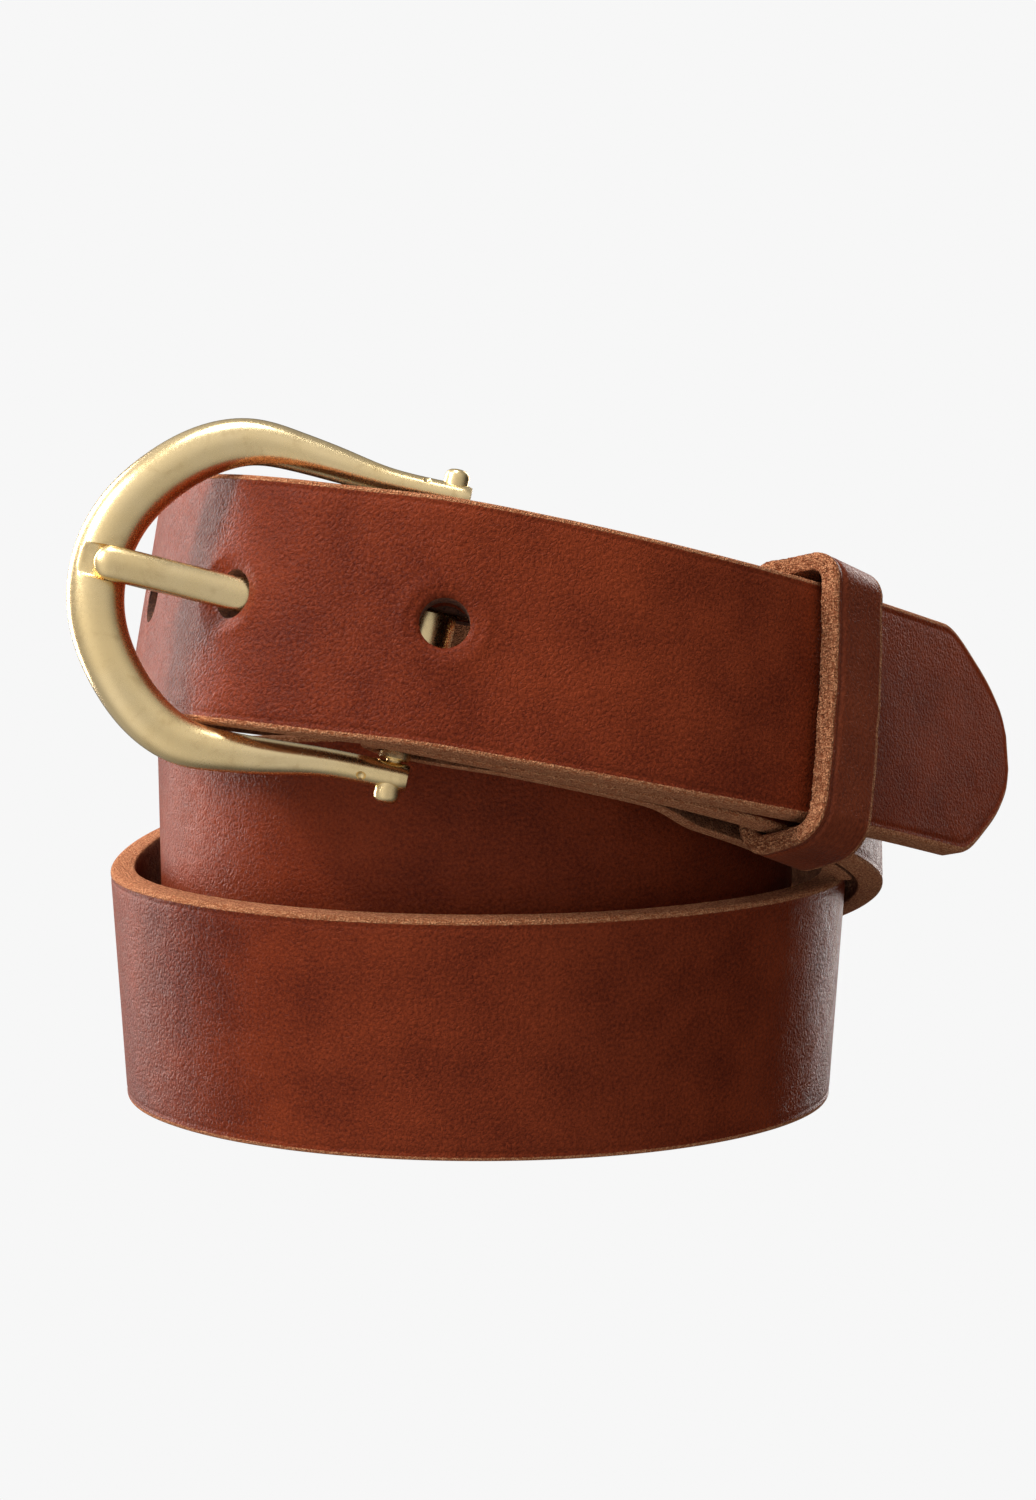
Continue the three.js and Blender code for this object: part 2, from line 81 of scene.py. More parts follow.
# Past the last turn: distance on, drop.
FREE_END = [(12, 2.7), (26, 6.0), (42, 9.8)]
BAR_R = 2.0
TENON_R = 1.0
BUCKLE_TILT = 5.4
FRAME_SHIFT = -0.5
# Distance from the bar, half spacing, half width, half thickness.
FRAME = [
    (-2.2, 18.3, 1.75, 2.2), (3, 18.3, 1.75, 2.1), (9, 18.4, 1.75, 2), (15, 18.8, 1.85, 2.1),
    (21, 19.5, 2.3, 2.3), (26.5, 19.7, 2.95, 2.55), (31.5, 17.7, 3.3, 2.85), (36.6, 13.2, 3.45, 3.3),
    (40.4, 7.3, 3.6, 3.4), (41.9, 0, 3.7, 3.4),
]
TONGUE_WIDTH = 4.4
NOSE = 2.2  # length of the tongue's rounded end
EYE_OUTER = 3.85
# Distance from the bar, height over it, thickness.
TONGUE = [
    (1.5, 2.75, 2.2), (8, 2.0, 2.4), (14, 1.2, 2.4), (19, 0.9, 2.4), (24, 1.2, 2.5), (30, 2.3, 2.8),
    (36, 3.4, 3.0), (39.5, 4.0, 2.9), (42.2, 4.2, 2.6),
]
KEEPER_AT = 56.0
KEEPER_WIDTH = 11.0
KEEPER_THICK = 2.6
KEEPER_CORNER = 3.0
KEEPER_ROUND = 0.7  # radius of its rounded edges
SCREWS_AT = [28.0, 73.5]
TURNED_END_AT = 81.0

# ---- camera ----------------------------------------------------------------------------------------
cam_data = bpy.data.cameras.new("camera")
camera = bpy.data.objects.new("camera", cam_data)
bpy.context.scene.collection.objects.link(camera)
bpy.context.scene.camera = camera


# ---- curves ----------------------------------------------------------------------------------------
def spline(knots, rows):
    """Natural cubic spline through rows at rising knots."""
    t = np.asarray(knots, float)
    v = np.asarray(rows, float).reshape(len(t), -1)
    n = len(t)
    h = np.diff(t)
    system = np.zeros((n, n))
    right = np.zeros_like(v)
    system[0, 0] = system[-1, -1] = 1
    for i in range(1, n - 1):
        system[i, i - 1], system[i, i], system[i, i + 1] = h[i - 1], 2 * (h[i - 1] + h[i]), h[i]
        right[i] = 6 * ((v[i + 1] - v[i]) / h[i] - (v[i] - v[i - 1]) / h[i - 1])
    m = np.linalg.solve(system, right)

    def at(x):
        x = np.atleast_1d(np.asarray(x, float))
        i = np.clip(np.searchsorted(t, x, side="left") - 1, 0, n - 2)
        a, b, hh = (t[i + 1] - x)[:, None], (x - t[i])[:, None], h[i][:, None]
        bend = (m[i] * a**3 + m[i + 1] * b**3) / (6 * hh)
        return bend + (v[i] / hh - m[i] * hh / 6) * a + (v[i + 1] / hh - m[i + 1] * hh / 6) * b

    return at


def smooth(x):
    t = np.clip(x, 0, 1)
    return t * t * (3 - 2 * t)


def lengths(points):
    return np.concatenate([[0], np.cumsum(np.linalg.norm(np.diff(points, axis=0), axis=1))])


def unit(v):
    return v / np.linalg.norm(v, axis=-1, keepdims=True)


def frames_along(points, lean):
    """Travel, width and outward directions of a line with its lean in degrees."""
    t = np.empty_like(points)
    t[1:-1] = points[2:] - points[:-2]
    t[0], t[-1] = points[1] - points[0], points[-1] - points[-2]
    t = unit(t)
    level = unit(np.cross(t, [0, 0, 1.0]))
    up = np.cross(level, t)
    a = np.radians(lean)[:, None]
    w = up * np.cos(a) - level * np.sin(a)
    return t, w, unit(np.cross(t, w))


def coil_line():
    c = np.array(COIL, float)
    at = spline(c[:, 0], c[:, 1:])
    turn = np.arange(c[0, 0], c[-1, 0] + 0.5, 1.0)
    r, z, lean = at(turn).T
    a = np.radians(turn)
    p = np.stack([r * np.sin(a), -r * np.cos(a), z], -1)
    way = p[-1] - p[-2]
    way[2] = 0
    way /= np.linalg.norm(way)
    keep = list(range(0, len(p), 6))
    if keep[-1] != len(p) - 1:
        keep.append(len(p) - 1)
    guide = [np.append(p[i], lean[i]) for i in keep]
    for far, drop in FREE_END:
        guide.append(np.append(p[-1] + way * far - np.array([0, 0, drop]), lean[-1]))
    guide = np.array(guide)
    knots = lengths(guide[:, :3])
    steps = int(round(knots[-1] / 0.5))
    fine = spline(knots, guide)(np.linspace(0, knots[-1], steps + 1))
    s = lengths(fine[:, :3])
    even = np.linspace(0, s[-1], int(math.ceil(s[-1] / 0.5)) + 1)
    line = np.stack([np.interp(even, s, fine[:, k]) for k in range(4)], -1)
    return even, line[:, :3], line[:, 3]


LINE_S, LINE_P, LINE_LEAN = coil_line()
LENGTH = LINE_S[-1]
HOLE_S = [LENGTH - FIRST_HOLE - k * HOLE_PITCH for k in range(HOLES)]
LINE_T, LINE_W, LINE_N = frames_along(LINE_P, LINE_LEAN)
START_P, START_T, START_W, START_N = LINE_P[0], LINE_T[0], LINE_W[0], LINE_N[0]
FOLD_R = -(HALF - SKIVED - GAP - BAR_R)
BAR = START_P - START_N * FOLD_R
# The row's origin against the coil's own middle: the heel bar's place in the frame gives it.
low, high = (np.array(v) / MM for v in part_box("heel_bar"))
SHIFT = (low + high) / 2 - (BAR + START_W * FRAME_SHIFT)
SHIFT[2] = 0.0


def along(s, array):
    return np.stack([np.interp(s, LINE_S, array[:, k]) for k in range(3)], -1)


def line_at(s):
    """Point and directions on the strap's line, s from over the bar; numbers or arrays."""
    p, t, w, n = (along(s, a) for a in (LINE_P, LINE_T, LINE_W, LINE_N))
    return p, unit(t), unit(w), unit(n)


# ---- mesh helpers ----------------------------------------------------------------------------------
def metres(points):
    return (np.asarray(points, float) + SHIFT) * MM


def add_object(name, points, faces, uvs=None, materials=(), indices=None, sharp=40, ready=False):
    """A mesh object from points in millimetres (or ready metres); uvs are one pair for each corner."""
    mesh = bpy.data.meshes.new(name)
    mesh.from_pydata([tuple(p) for p in (points if ready else metres(points))], [], faces)
    for m in materials:
        mesh.materials.append(m)
    if uvs is not None:
        layer = mesh.uv_layers.new(name="UVMap")
        layer.data.foreach_set("uv", np.asarray(uvs, np.float32).ravel())
    if indices is not None:
        mesh.polygons.foreach_set("material_index", np.asarray(indices, np.int32))
    mesh.polygons.foreach_set("use_smooth", [True] * len(mesh.polygons))
    mesh.set_sharp_from_angle(angle=math.radians(sharp))
    mesh.update()
    obj = bpy.data.objects.new(name, mesh)
    bpy.context.scene.collection.objects.link(obj)
    return obj


def outward_faces(obj):
    bm = bmesh.new()
    bm.from_mesh(obj.data)
    bmesh.ops.recalc_face_normals(bm, faces=bm.faces)
    bm.to_mesh(obj.data)
    bm.free()
    return obj


def tube(rings):
    """Faces of a band through rings of equal counts, with end caps."""
    count, m = len(rings), len(rings[0])
    faces = []
    for i in range(count - 1):
        for j in range(m):
            a, b = i * m + j, i * m + (j + 1) % m
            faces.append((a, b, b + m, a + m))
    faces.append(tuple(reversed(range(m))))
    faces.append(tuple(range((count - 1) * m, count * m)))
    return faces


def lathe_points(profile, origin, axis, side, count=48):
    """Rings of a turned piece: profile of (radius, place along axis), in millimetres."""
    other = np.cross(axis, side)
    rings = []
    for r, y in profile:
        a = 2 * np.pi * np.arange(count) / count
        ring = origin + axis * y + r * (np.cos(a)[:, None] * side + np.sin(a)[:, None] * other)
        rings.append(ring)
    return rings


def lathe(name, profile, origin, axis, side, materials, count=48, sharp=35):
    profile = [(max(r, 0.02), y) for r, y in profile]
    rings = lathe_points(profile, origin, axis, side, count)
    obj = add_object(name, np.vstack(rings), tube(rings), materials=materials, sharp=sharp)
    return outward_faces(obj)


def combine(obj, operation, tools):
    for tool in tools:
        mod = obj.modifiers.new("combine", "BOOLEAN")
        mod.operation = operation
        mod.solver = "MANIFOLD"
        mod.object = tool
        apply_modifier(obj, mod)
        bpy.data.objects.remove(tool)


def cut(obj, *tools):
    """Takes the tools' solids away from obj, and removes them."""
    combine(obj, "DIFFERENCE", tools)


def join_solids(obj, *tools):
    """Adds the tools' solids to obj, and removes them."""
    combine(obj, "UNION", tools)


def apply_modifier(obj, mod):
    graph = bpy.context.evaluated_depsgraph_get()
    graph.update()
    made = bpy.data.meshes.new_from_object(obj.evaluated_get(graph), depsgraph=graph)
    if not made.polygons:
        raise RuntimeError(obj.name + ": the modifier left nothing")
    obj.modifiers.remove(mod)
    old = obj.data
    obj.data = made
    bpy.data.meshes.remove(old)


def point_layer(obj, name, values):
    layer = obj.data.attributes.new(name, "FLOAT", "POINT")
    layer.data.foreach_set("value", np.asarray(values, np.float32))


def side_uvs(run, around):
    """Corner uvs of a band's sides: run along it, and around[i] round its section i."""
    uvs = []
    for i in range(len(run) - 1):
        for j in range(len(around[0]) - 1):
            uvs += [(run[i], around[i][j]), (run[i], around[i][j + 1]),
                    (run[i + 1], around[i + 1][j + 1]), (run[i + 1], around[i + 1][j])]
    return uvs


def around_ring(x, y):
    """Distance round a closed ring at each of its points and back at the first."""
    step = np.hypot(np.diff(x, append=x[0]), np.diff(y, append=y[0]))
    return np.concatenate([[0], np.cumsum(step)])


# ---- materials -------------------------------------------------------------------------------------
class Nodes:
    """A material's node tree, with short calls to add and link nodes."""

    def __init__(self, name):
        self.material = bpy.data.materials.new(name)
        self.material.use_nodes = True
        self.tree = self.material.node_tree
        self.shader = self.tree.nodes["Principled BSDF"]

    def add(self, kind, values=None, **settings):
        node = self.tree.nodes.new(kind)
        for key, value in settings.items():
            setattr(node, key, value)
        for key, value in (values or {}).items():
            self.put(node.inputs[key], value)
        return node

    def put(self, socket, value):
        if hasattr(value, "links"):
            self.tree.links.new(value, socket)
        else:
            socket.default_value = value

    def uv(self, scale=(1, 1, 1)):
        source = self.add("ShaderNodeUVMap", uv_map="UVMap").outputs[0]
        return self.add("ShaderNodeMapping", {"Vector": source, "Scale": scale}).outputs[0]

    def place(self, scale=(1, 1, 1)):
        source = self.add("ShaderNodeTexCoord").outputs["Object"]
        return self.add("ShaderNodeMapping", {"Vector": source, "Scale": scale}).outputs[0]

    def noise(self, vector, scale, detail=4.0, rough=0.55, distort=0.0):
        values = {"Vector": vector, "Scale": scale, "Detail": detail, "Roughness": rough,
                  "Distortion": distort}
        return self.add("ShaderNodeTexNoise", values).outputs["Fac"]

    def voronoi(self, vector, scale, feature="F1"):
        node = self.add("ShaderNodeTexVoronoi", {"Vector": vector, "Scale": scale}, feature=feature)
        return node.outputs["Distance"]

    def math(self, operation, a, b=0.5, c=None, clamp=False):
        node = self.add("ShaderNodeMath", operation=operation, use_clamp=clamp)
        self.put(node.inputs[0], a)
        self.put(node.inputs[1], b)
        if c is not None:
            self.put(node.inputs[2], c)
        return node.outputs[0]

    def ramp(self, value, low, high, to_low=0.0, to_high=1.0):
        values = {"Value": value, "From Min": low, "From Max": high, "To Min": to_low, "To Max": to_high}
        return self.add("ShaderNodeMapRange", values, interpolation_type="SMOOTHSTEP").outputs[0]

    def mix(self, factor, a, b, blend="MIX"):
        node = self.add("ShaderNodeMix", data_type="RGBA", blend_type=blend)
        self.put(node.inputs["Factor"], factor)
        self.put(node.inputs[6], a)
        self.put(node.inputs[7], b)
        return node.outputs[2]

    def bump(self, height, distance, strength=1.0, normal=None):
        node = self.add("ShaderNodeBump", {"Height": height, "Distance": distance, "Strength": strength})
        if normal is not None:
            self.put(node.inputs["Normal"], normal)
        return node.outputs[0]

    def attribute(self, name):
        return self.add("ShaderNodeAttribute", attribute_name=name).outputs["Fac"]

    def set(self, **values):
        for key, value in values.items():
            self.put(self.shader.inputs[key.replace("_", " ")], value)
        return self.material


def rgb(r, g, b):
    return (r, g, b, 1.0)


def leather(name, deep, light, raw_dark, raw_light, coarse=1.0):
    """Dyed grain with raw tan edges and a suede back; attributes edge and flesh say where."""
    k = Nodes(name)
    uv = k.uv()
    cloud = k.noise(uv, 17, 3, 0.55)
    patch = k.noise(uv, 110, 3, 0.6)
    fibre = k.noise(uv, 2300 * coarse, 5, 0.7, 0.15)
    pebble = k.voronoi(uv, 1900 * coarse)
    tone = k.math("ADD", k.math("MULTIPLY", cloud, 0.45), k.math("MULTIPLY", patch, 0.25))
    tone = k.math("ADD", tone, k.math("MULTIPLY", fibre, 0.62))
    tone = k.ramp(tone, 0.44, 0.86)
    dyed = k.mix(tone, rgb(*deep), rgb(*light))
    pores = k.ramp(k.noise(uv, 2600 * coarse, 3, 0.6), 0.56, 0.74)
    pore_colour = rgb(deep[0] * 0.5, deep[1] * 0.45, deep[2] * 0.5)
    dyed = k.mix(k.math("MULTIPLY", pores, 0.45), dyed, pore_colour)
    # Raw fibre along the cut edges, long in the strap's direction.
    strand = k.noise(k.uv((0.35, 1.6, 1)), 2600, 5, 0.7, 0.8)
    speck = k.ramp(k.voronoi(uv, 3400), 0.1, 0.75, 1.0, 0.0)
    raw_tone = k.math("ADD", k.math("MULTIPLY", strand, 0.85), k.math("MULTIPLY", speck, 0.18))
    raw_tone = k.ramp(raw_tone, 0.34, 0.74)
    raw = k.mix(raw_tone, rgb(*raw_dark), rgb(*raw_light))
    # The back is paler suede, dulled by dye that has soaked through.
    nap = k.ramp(k.noise(uv, 900, 5, 0.7, 1.2), 0.3, 0.75)
    suede = k.mix(nap, rgb(raw_dark[0] * 0.30, raw_dark[1] * 0.28, raw_dark[2] * 0.28),
                  rgb(raw_light[0] * 0.33, raw_light[1] * 0.29, raw_light[2] * 0.27))
    edge = k.attribute("edge")
    ragged = k.math("ADD", edge, k.math("MULTIPLY", k.math("SUBTRACT", k.noise(uv, 1400, 3), 0.5), 0.75))
    edge_on = k.ramp(ragged, 0.38, 0.66)
    flesh_on = k.ramp(k.attribute("flesh"), 0.3, 0.7)
    colour = k.mix(edge_on, dyed, raw)
    colour = k.mix(flesh_on, colour, suede)
    bent = k.math("MULTIPLY", k.noise(uv, 700, 2), 0.0011)
    bent = k.add("ShaderNodeCombineXYZ", {0: bent, 1: bent}).outputs[0]
    shifted = k.add("ShaderNodeVectorMath", {0: uv, 1: bent}).outputs[0]
    crackle = k.ramp(k.voronoi(shifted, 1500 * coarse, "DISTANCE_TO_EDGE"), 0.0, 0.22)
    grain = k.math("ADD", k.math("MULTIPLY", fibre, 0.8), k.math("MULTIPLY", pebble, 0.5))
    grain = k.math("ADD", grain, k.math("MULTIPLY", crackle, 0.32))
    rough_edge = k.math("ADD", k.math("MULTIPLY", strand, 1.6), k.math("MULTIPLY", speck, 1.1))
    matt = k.math("MAXIMUM", edge_on, flesh_on)
    height = k.add("ShaderNodeMix", {"Factor": matt, "A": grain, "B": rough_edge}).outputs[0]
    depth = k.add("ShaderNodeMix", {"Factor": matt, "A": 0.00011, "B": 0.00021}).outputs[0]
    normal = k.bump(height, depth)
    wide = k.bump(patch, 0.0006, 0.35, normal)
    gloss = k.ramp(k.noise(uv, 420, 4, 0.6), 0.3, 0.75, 0.34, 0.46)
    rough = k.add("ShaderNodeMix", {"Factor": matt, "A": gloss, "B": 0.9}).outputs[0]
    return k.set(Base_Color=colour, Roughness=rough, Normal=wide, Specular_IOR_Level=0.075,
                 Sheen_Weight=0.03, Sheen_Roughness=0.28, Sheen_Tint=rgb(1.0, 0.84, 0.80))


def brass(name, light, dark, rough=(0.26, 0.40)):
    """Satin antique brass: fine tumbled texture with faint lines, and brown patches."""
    k = Nodes(name)
    at = k.place()
    cloud = k.noise(at, 90, 4, 0.6)
    fine = k.noise(at, 2400, 4, 0.6)
    grime = k.ramp(k.noise(at, 260, 5, 0.65, 0.5), 0.50, 0.78)
    warm = rgb(light[0] * 0.93, light[1] * 0.90, light[2] * 0.82)
    colour = k.mix(k.ramp(cloud, 0.3, 0.7), rgb(*light), warm)
    colour = k.mix(k.math("MULTIPLY", grime, 0.35), colour, rgb(*dark))
    scratch = k.noise(k.place((1.0, 0.12, 0.12)), 2600, 3, 0.6)
    height = k.math("ADD", fine, k.math("MULTIPLY", scratch, 0.6))
    normal = k.bump(height, 0.000012, 0.5)
    both = k.math("ADD", k.math("MULTIPLY", cloud, 0.5), k.math("MULTIPLY", fine, 0.5))
    gloss = k.ramp(both, 0.3, 0.7, *rough)
    return k.set(Base_Color=colour, Roughness=gloss, Normal=normal, Metallic=1.0)


def steel(name):
    k = Nodes(name)
    fine = k.noise(k.place((1, 1, 0.2)), 2200, 3)
    gloss = k.ramp(fine, 0.3, 0.7, 0.25, 0.42)
    return k.set(Base_Color=rgb(0.62, 0.61, 0.58), Roughness=gloss, Metallic=1.0,
                 Normal=k.bump(fine, 0.00001))


def hole_wall():
    k = Nodes("hole_wall_leather")
    at = k.place()
    fibre = k.noise(at, 1900, 5, 0.7, 0.8)
    colour = k.mix(k.ramp(fibre, 0.35, 0.7), rgb(0.05, 0.016, 0.009), rgb(0.22, 0.085, 0.045))
    return k.set(Base_Color=colour, Roughness=0.8, Normal=k.bump(fibre, 0.0002))


LEATHER = leather("belt_leather", (0.070, 0.0080, 0.0030), (0.262, 0.0435, 0.0130),
                  (0.34, 0.105, 0.042), (0.86, 0.42, 0.215))
KEEPER_LEATHER = leather("keeper_leather", (0.095, 0.016, 0.0070), (0.26, 0.058, 0.023),
                         (0.19, 0.052, 0.020), (0.80, 0.37, 0.185), 0.9)
BRASS = brass("buckle_brass", (0.93, 0.735, 0.42), (0.42, 0.26, 0.10), (0.20, 0.33))
SCREW_BRASS = brass("screw_brass", (0.86, 0.66, 0.34), (0.38, 0.23, 0.09), (0.22, 0.36))
STEEL = steel("staple_steel")
HOLE_WALL = hole_wall()


# ---- strap -----------------------------------------------------------------------------------------
def turned_depth(s):
    """How far the grain of the turned-back end lies under the reference line."""
    bar = 2 * FOLD_R + HALF
    flat = HALF + 0.3 + SKIVED
    keeper = HALF + 0.85 + KEEPER_THICK + 1.35 + SKIVED
    near = bar + (flat - bar) * smooth(s / 15)
    lift = smooth((s - 33) / 13.5) * (1 - smooth((s - 62.8) / 5))
    return near + (keeper - flat) * lift


EDGE_STEPS = [0, 0.08, 0.2, 0.38, 0.6, 0.85, 1.05, 1.25, 1.45, 1.7, 2.1]
EDGE_REACH = EDGE_STEPS[-1]
TIP_STEPS = [2.6, 2.1, 1.6, 1.2, 0.85, 0.55, 0.32, 0.15, 0.05, 0]
FLESH_POINTS = 21
ROUND = 0.62  # the cut edges are rounded off on the grain side


def rim_drop(d):
    """Depth of the grain face at a distance from the cut edge: a rounded corner and a creased line."""
    d = np.clip(d, 0, None)
    corner = np.where(d < ROUND, ROUND - np.sqrt(np.clip(ROUND**2 - (ROUND - d) ** 2, 0, None)), 0)
    return corner + 0.10 * np.exp(-(((d - 1.25) / 0.22) ** 2))


def wave(s):
    """Slight swell of the tail where it rides over the bar and the tongue's eye."""
    tip = LENGTH - s
    return 0.45 * np.exp(-(((tip - 103) / 6.5) ** 2)) - 0.28 * np.exp(-(((tip - 116) / 6) ** 2))


def strap_stations():
    """Points, directions and sizes of every section of the strap, turned-back end first."""
    point = spline([c[0] for c in POINT], [[c[1]] for c in POINT])
    back_s = np.concatenate([[TURNED_END_AT, TURNED_END_AT - 0.15, TURNED_END_AT - 0.5],
                             np.arange(TURNED_END_AT - 1, 0.5, -0.8)])
    p, t, w, n = line_at(back_s)
    depth = np.array([turned_depth(s) for s in back_s]) - HALF
    path = [p - n * depth[:, None]]
    width = [w]
    arc = np.radians(np.linspace(180, 0, 34))[:-1]
    fold = START_N * (np.cos(arc) * FOLD_R)[:, None] - START_T * (np.sin(arc) * FOLD_R)[:, None]
    path.append(BAR + fold)
    width.append(np.repeat(START_W[None], len(arc), 0))
    s = 0.0
    stops = []
    while s < LENGTH - 22:
        stops.append(s)
        near = min(abs(s - hole) for hole in HOLE_S)
        s += 0.33 if near < 6.5 else 0.8
    stops += list(LENGTH - np.concatenate([np.arange(21.5, 3, -0.6), TIP_STEPS]))
    main_s = np.array(stops)
    p, t, w, n = line_at(main_s)
    p = p + n * wave(main_s)[:, None]
    path.append(p)
    width.append(w)
    path, width = np.vstack(path), np.vstack(width)
    first = len(path) - len(main_s)
    t = np.gradient(path, axis=0)
    t[first:] = line_at(main_s)[1]
    n = unit(np.cross(unit(t), width))
    run = lengths(path)
    flesh = np.full(len(path), SKIVED - HALF)
    flesh[first:] = SKIVED + (STRAP_THICK - SKIVED) * smooth((main_s - 8) / 12) - HALF
    tip = np.full(len(path), 1e3)
    tip[first:] = LENGTH - main_s
    start = np.full(len(path), 1e3)
    start[: len(back_s)] = TURNED_END_AT - back_s
    point_end = POINT[-1][0]
    pointed = np.minimum(STRAP_WIDTH / 2, point(np.clip(tip, 0, point_end))[:, 0])
    half = np.where(tip < point_end, pointed, STRAP_WIDTH / 2)
    s_line = np.full(len(path), -100.0)
    s_line[first:] = main_s
    return path, unit(t), width, n, flesh, half, tip, start, run, s_line


def worn_holes(y, x, s):
    """Grain height with the holes' worn rims pressed in, on the section at s along the strap."""
    for k, hole in enumerate(HOLE_S):
        if abs(s - hole) >= 8:
            continue
        used = k == USED_HOLE
        rho = np.hypot(x - USED_LIFT * used, s - hole + USED_RIM * used)
        worn = 0.60 if used else (0.62 if k == 0 else 0.25)
        y = y - worn * np.exp(-(((rho - HOLE_R + 0.25) / (0.95 if used else 0.62)) ** 2))
        if k <= USED_HOLE:
            y = y - 0.11 * np.exp(-(((rho - 4.35) / 0.32) ** 2))
            y = y + 0.13 * np.exp(-(((rho - 5.3) / 0.9) ** 2))
    return y


def make_strap():
    path, t, width, n, flesh, half, tip, start, run, s_line = strap_stations()
    edge = np.array(EDGE_STEPS)
    middle = [np.arange(-13.4, -5.2, 1.3), np.arange(-5.0, 5.01, 0.4), np.arange(6.2, 13.5, 1.3)]
    middle = np.concatenate(middle) / 13.4
    slope = np.gradient(half, np.maximum.accumulate(run))
    slope[: len(slope) // 2] = 0
    square = np.sqrt(1 + np.clip(slope, -3, 3) ** 2)
    rows, edges, backs, around = [], [], [], []
    for i in range(len(path)):
        h = half[i]
        reach = min(EDGE_REACH, h * 0.45)
        left = -h + edge / EDGE_REACH * reach
        x = np.concatenate([left[:-1], middle * (h - reach), -left[:-1][::-1]])
        d = (h - np.abs(x)) / square[i]
        d = np.minimum(d, np.minimum(tip[i], start[i]))
        y = worn_holes(HALF - rim_drop(d), x, s_line[i])
        fade = np.clip((d - 0.45) / 0.5, 0, 1)
        base = -flesh[i]
        side_y = np.array([HALF - ROUND - 0.35, (HALF - ROUND + base) / 2, base + 0.35])
        flat = h - 1.2 * min(1, h / 4)
        corner = np.array([h - 0.05, h - 0.3])
        under_x = np.concatenate([corner, np.linspace(flat, -flat, FLESH_POINTS), -corner[::-1]])
        under_y = base + np.where(np.abs(np.abs(under_x) - h) < 0.1, 0.2, 0.0)
        if h < 1:
            under_x *= h
        ring_x = np.concatenate([x, np.full(3, h), under_x, np.full(3, -h)])
        ring_y = np.concatenate([y, side_y, under_y, side_y[::-1]])
        rows.append(path[i] + width[i] * ring_x[:, None] + n[i] * ring_y[:, None])
        edges.append(np.concatenate([1 - fade, np.ones(5), np.zeros(FLESH_POINTS), np.ones(5)]))
        soft = np.concatenate([[0.3, 0.8], np.ones(FLESH_POINTS), [0.8, 0.3]])
        backs.append(np.concatenate([np.zeros(len(x) + 3), soft, np.zeros(3)]))
        around.append(around_ring(ring_x, ring_y) + ring_x[0])
    m = len(rows[0])
    uvs = side_uvs(run, around)
    for end in (run[0], run[-1]):
        uvs += [(end + q * 0.01, q * 0.3) for q in range(m)]
    obj = add_object("belt_strap", np.vstack(rows), tube(rows), np.array(uvs) * MM, [LEATHER], sharp=60)
    point_layer(obj, "edge", np.concatenate(edges))
    point_layer(obj, "flesh", np.concatenate(backs))
    return outward_faces(obj)


def wall_tool(obj):
    """Makes a cutting tool leave the strap's second material on the walls that it cuts."""
    obj.data.uv_layers.new(name="UVMap")
    obj.data.materials.append(HOLE_WALL)
    obj.data.materials.append(HOLE_WALL)
    obj.data.polygons.foreach_set("material_index", [1] * len(obj.data.polygons))
    return obj


def cylinder_tool(radius, low, high, origin, axis, side, count=64, lean=(0.0, 0.0)):
    """A plain solid to cut with; lean shifts its two ends along side."""
    other = np.cross(axis, side)
    a = 2 * np.pi * np.arange(count) / count
    circle = radius * (np.cos(a)[:, None] * side + np.sin(a)[:, None] * other)
    rings = [origin + axis * y + side * move + circle for y, move in ((low, lean[0]), (high, lean[1]))]
    obj = outward_faces(add_object("tool", np.vstack(rings), tube(rings)))
    point_layer(obj, "edge", np.ones(len(obj.data.vertices)))
    point_layer(obj, "flesh", np.zeros(len(obj.data.vertices)))
    return wall_tool(obj)


def slot_tool():
    """The opening for the tongue in the fold round the bar."""
    angles = np.radians(np.linspace(-90, 90, 21))
    outline = [(SLOT_REACH + SLOT_HALF * math.cos(a), SLOT_HALF * math.sin(a)) for a in angles]
    outline += [(-7, SLOT_HALF), (-7, -SLOT_HALF)]
    centre = BAR + START_W * FRAME_SHIFT
    rings = [np.array([centre + START_T * x + START_W * z + START_N * y for x, z in outline])
             for y in (-7.0, 5.0)]
    return wall_tool(outward_faces(add_object("tool", np.vstack(rings), tube(rings))))


strap = make_strap()
strap.data.materials.append(HOLE_WALL)
tools = []
for k, s in enumerate(HOLE_S):
    p, t, w, n = line_at(s)
    if k == USED_HOLE:
        tools.append(cylinder_tool(HOLE_R, -4, 3, p + w * USED_LIFT, n, t, lean=USED_LEAN))
    else:
        tools.append(cylinder_tool(HOLE_R, -4, 3, p, n, t))
cut(strap, *tools)
cut(strap, slot_tool())
for s in SCREWS_AT:
    p, t, w, n = line_at(s)
    cut(strap, cylinder_tool(2.5, -7, 1.2, p, n, t, 40),
        cylinder_tool(4.3, HALF - 1.5, HALF + 0.4, p, n, t, 48))
strap.data.set_sharp_from_angle(angle=math.radians(60))
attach(strap, "strap_body")
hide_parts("strap")


# ---- keeper ----------------------------------------------------------------------------------------
KP, KT, KW, KN = line_at(KEEPER_AT)


def tail_in_keeper():
    far = LINE_S > LENGTH - 80
    d = LINE_P[far] - KP
    best = d[np.argmin(np.abs(d @ KT))]
    return best @ KN, best @ KW


